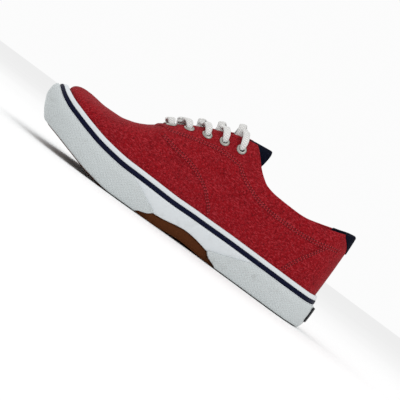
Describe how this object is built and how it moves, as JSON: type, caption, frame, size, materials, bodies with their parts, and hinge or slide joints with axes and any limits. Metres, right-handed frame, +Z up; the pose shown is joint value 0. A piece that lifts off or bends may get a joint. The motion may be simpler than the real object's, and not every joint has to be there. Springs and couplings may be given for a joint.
{
  "type": "canvas sneaker",
  "caption": "Low lace-up canvas sneaker for the right foot: heathered red hollow upper, navy tongue and heel tab, white rubber side wall with a navy stripe, gum outsole.",
  "frame": {"origin": "on the floor under the middle of the shoe's bounding box", "axes": "+X from heel to toe, +Y to the wearer's left, the inner side of this right shoe, +Z up"},
  "size_m": [0.301, 0.1118, 0.1154],
  "materials": {
    "gum_rubber": "matt gum rubber",
    "white_rubber": "satin moulded rubber",
    "navy_rubber": "satin rubber tape",
    "label_rubber": "satin rubber",
    "red_canvas": "heathered plain weave",
    "navy_canvas": "plain weave",
    "lining": "plain cotton",
    "nickel": "worn nickel plate",
    "lace_cotton": "flat braided cotton"
  },
  "bodies": {
    "root": {"outsole": "gum_rubber", "midsole": "white_rubber", "side_stripe": "navy_rubber", "toe_bumper": "white_rubber", "heel_bumper": "white_rubber", "heel_label": "label_rubber", "insole": "lining", "upper": "red_canvas", "collar_band": "red_canvas", "heel_counter": "red_canvas", "heel_tab": "navy_canvas", "tongue": "navy_canvas", "eyelet_inner_1": "nickel", "eyelet_outer_1": "nickel", "eyelet_inner_2": "nickel", "eyelet_outer_2": "nickel", "eyelet_inner_3": "nickel", "eyelet_outer_3": "nickel", "eyelet_inner_4": "nickel", "eyelet_outer_4": "nickel", "eyelet_inner_5": "nickel", "eyelet_outer_5": "nickel", "lace_bar": "lace_cotton", "lace_cross_2": "lace_cotton", "lace_cross_3": "lace_cotton", "lace_cross_4": "lace_cotton", "lace_cross_5": "lace_cotton"}
  },
  "joints": []
}
